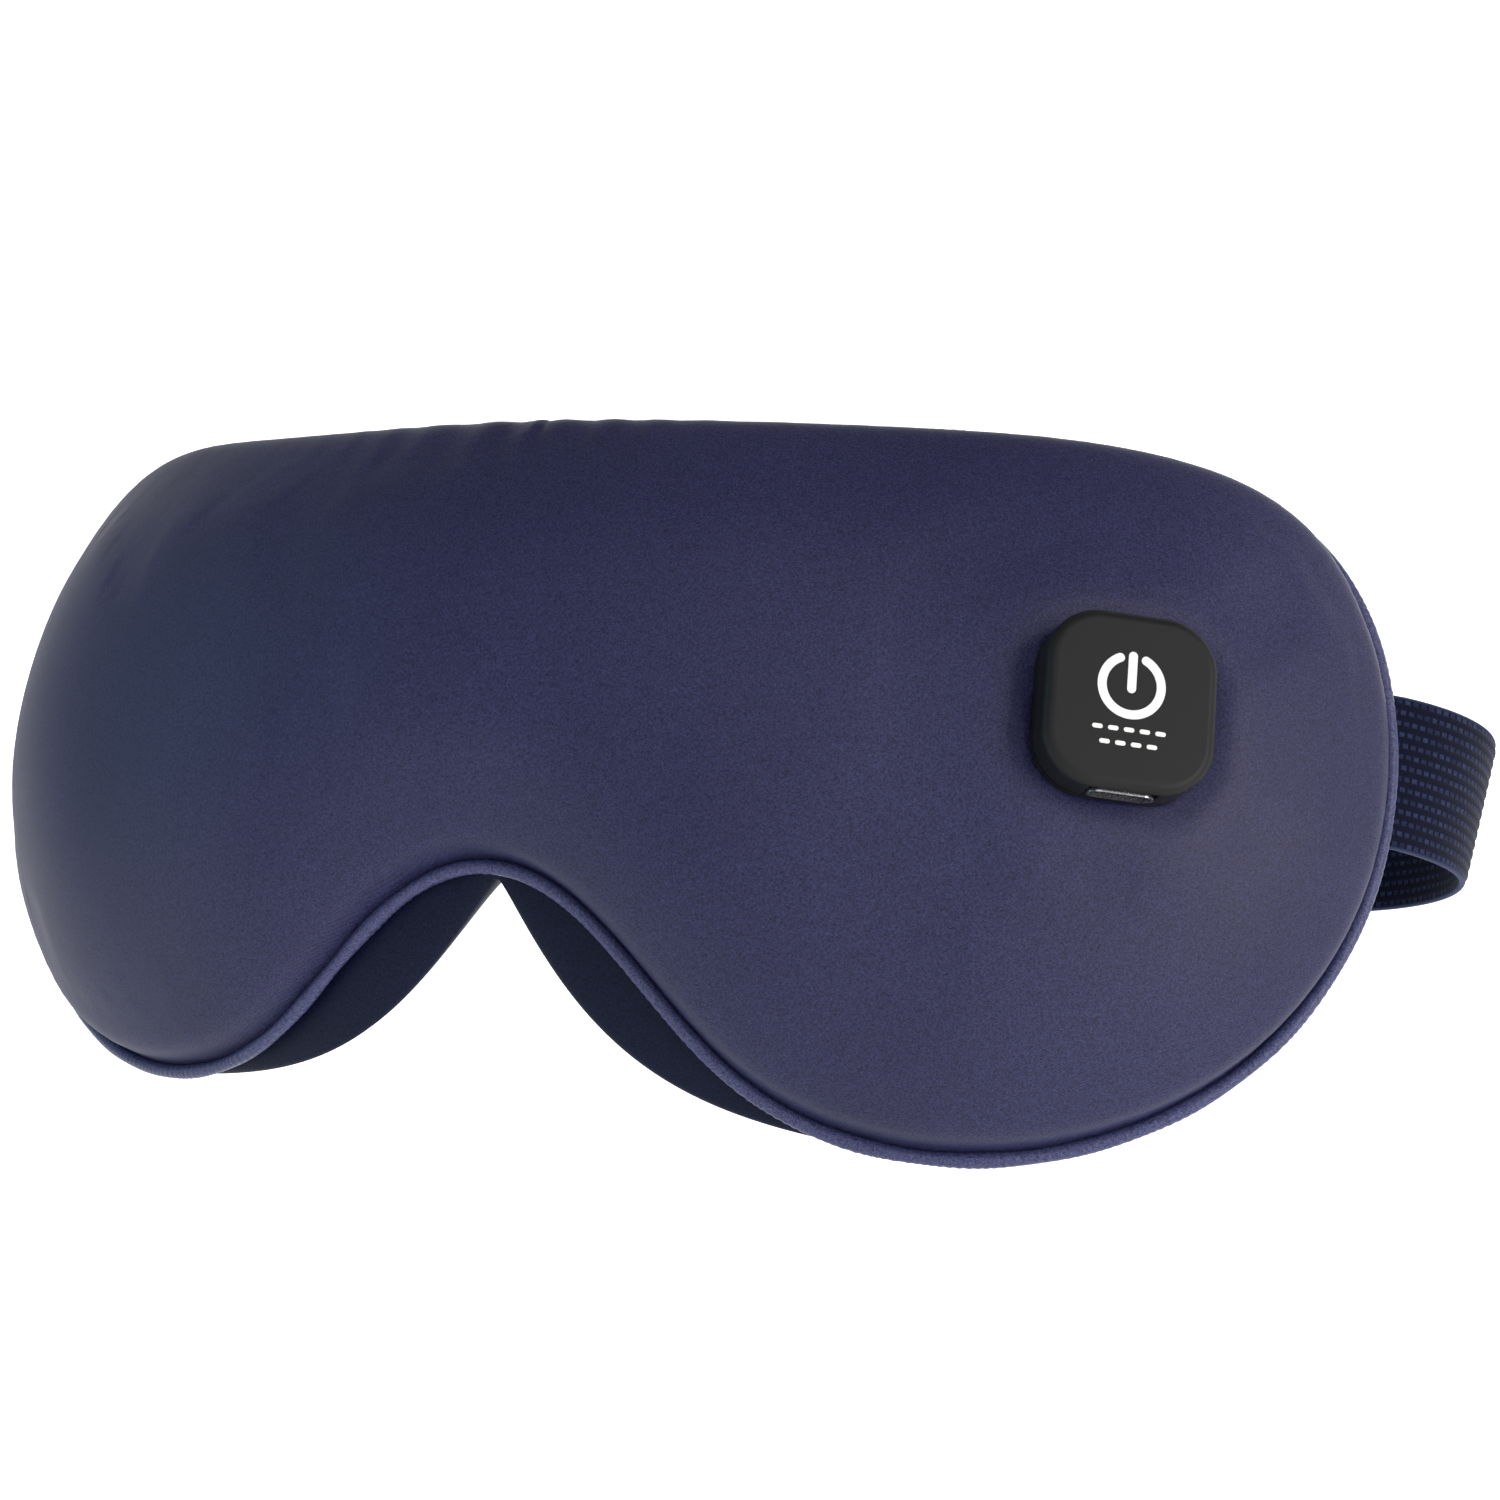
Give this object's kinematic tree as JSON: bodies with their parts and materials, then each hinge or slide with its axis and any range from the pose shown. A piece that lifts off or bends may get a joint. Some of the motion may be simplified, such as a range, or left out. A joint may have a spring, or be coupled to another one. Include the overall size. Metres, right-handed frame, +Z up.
{
  "type": "eye massager mask",
  "caption": "Contoured satin eye mask that warms and vibrates, with a push-button control module and an elastic head strap on a slider.",
  "frame": {"origin": "on the face side at the middle of the bridge, level with the widest part of the mask", "axes": "+X to the wearer's left, -Y forward away from the face, +Z up"},
  "size_m": [0.2624, 0.1035, 0.1047],
  "materials": {
    "satin": "smooth navy satin",
    "wadding": "lofty wadding",
    "carrier_felt": "thin felt",
    "foam": "soft closed foam",
    "back_satin": "dark navy satin",
    "piping": "rolled satin edge",
    "heating_film": "amber film",
    "sensor": "bead",
    "lead": "insulated lead",
    "module_black": "soft touch",
    "print_white": "printed",
    "board": "solder mask",
    "chip": "moulded",
    "battery": "foil pouch",
    "metal": "plated steel",
    "seal": "soft",
    "elastic": "ribbed elastic",
    "slider_plastic": "moulded"
  },
  "bodies": {
    "mask": {"front_cover": "satin", "front_wadding": "wadding", "carrier_sheet": "carrier_felt", "eye_foam_right": "foam", "eye_foam_left": "foam", "back_cover": "back_satin", "nose_flap_right": "back_satin", "nose_flap_left": "back_satin", "edge_piping": "piping", "heating_film_right": "heating_film", "heating_film_left": "heating_film", "ntc_sensor": "sensor", "motor_lead_right": "lead", "motor_lead_left": "lead", "heater_lead_right": "lead", "heater_lead_left": "lead", "module_base": "module_black", "circuit_board": "board", "control_chip": "chip", "tact_switch_body": "chip", "battery_cell": "battery", "usb_shell": "metal", "usb_tongue": "chip", "cap_seal": "seal", "clamp_plate": "module_black", "clamp_screws": "metal", "elastic_strap": "elastic", "strap_return": "elastic", "strap_tab": "elastic", "strap_ring": "slider_plastic", "motor_can_right": "metal", "motor_plate_right": "metal", "motor_shaft_right": "metal", "motor_magnet_right": "chip", "motor_can_left": "metal", "motor_plate_left": "metal", "motor_shaft_left": "metal", "motor_magnet_left": "chip"},
    "button": {"button_cap": "module_black", "power_symbol": "print_white", "legend_dashes": "print_white"},
    "plunger": {"tact_switch_plunger": "chip"},
    "slider": {"strap_slider": "slider_plastic"},
    "weight_right": {"motor_weight_right": "metal"},
    "weight_left": {"motor_weight_left": "metal"}
  },
  "joints": [
    {"name": "button_press", "type": "slide", "parent": "mask", "child": "button", "axis": [-0.5067, 0.8577, -0.0872], "range_m": [0, 0.0004], "stiffness_N_per_m": 3000, "springref_m": -0.0002},
    {"name": "plunger_press", "type": "slide", "parent": "mask", "child": "plunger", "axis": [-0.5067, 0.8577, -0.0872], "range_m": [0, 0.0004]},
    {"name": "weight_right_spin", "type": "hinge", "parent": "mask", "child": "weight_right", "pos_m": [0.05111, -0.00149, 0.022], "axis": [0.2797, -0.9523, 0.1223], "continuous": true},
    {"name": "weight_left_spin", "type": "hinge", "parent": "mask", "child": "weight_left", "pos_m": [-0.05111, -0.00149, 0.022], "axis": [-0.2797, -0.9523, 0.1223], "continuous": true},
    {"name": "slider_slide", "type": "slide", "parent": "mask", "child": "slider", "axis": [1, 0, 0], "range_m": [0, 0.06], "deforming": ["strap_return"]}
  ],
  "couplings": [
    {"joint": "plunger_press", "follows": "button_press", "ratio": 1}
  ]
}
